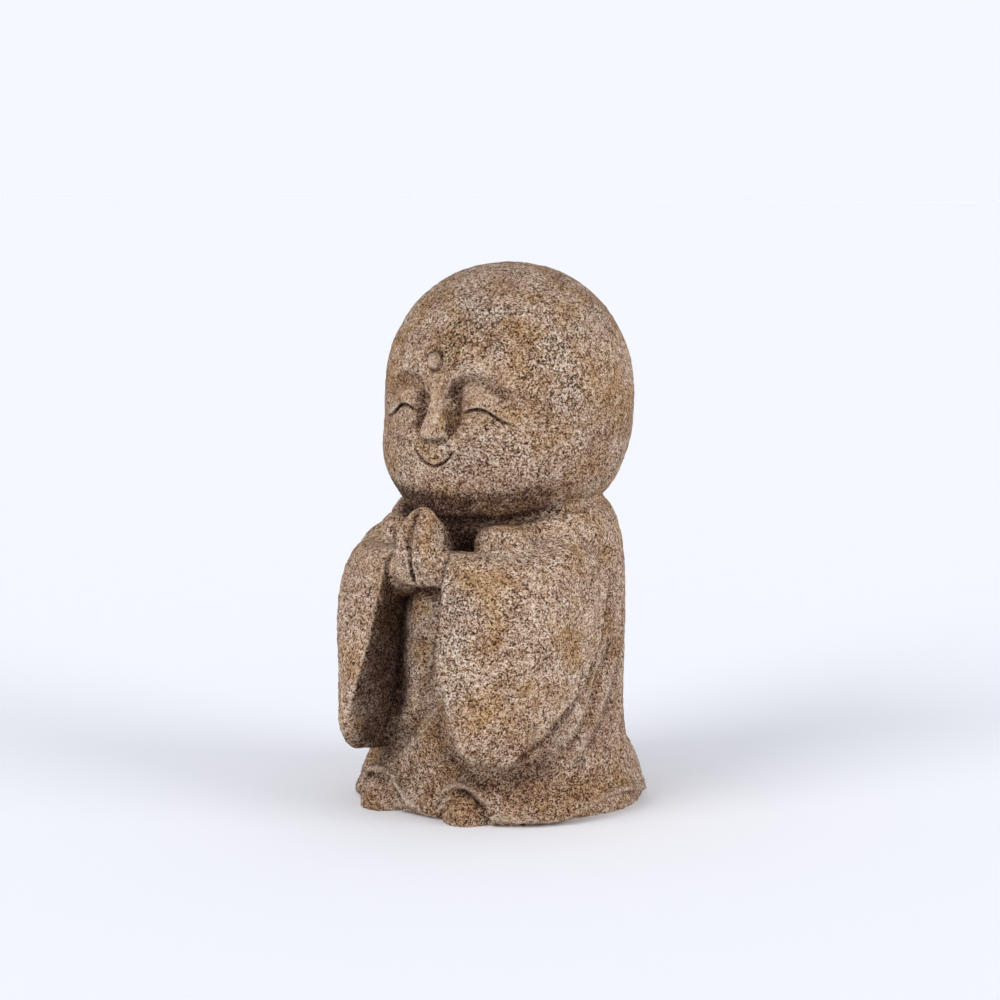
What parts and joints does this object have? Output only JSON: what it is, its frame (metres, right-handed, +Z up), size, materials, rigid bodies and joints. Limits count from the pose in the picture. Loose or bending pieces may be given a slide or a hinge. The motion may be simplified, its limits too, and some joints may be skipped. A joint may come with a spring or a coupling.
{
  "type": "garden statue",
  "caption": "Stone garden statue of a child monk praying with closed eyes, in a long robe with wide hanging sleeves, on a flat underside.",
  "frame": {"origin": "middle of the bounding box, on the ground under the flat underside", "axes": "+Z up; the face looks along -Y; the figure's own left hand is towards +X"},
  "size_m": [0.1588, 0.1726, 0.3],
  "materials": {
    "cast_stone": "rough sandy cast stone with dark grains"
  },
  "bodies": {
    "root": {"statue": "cast_stone"}
  },
  "joints": []
}
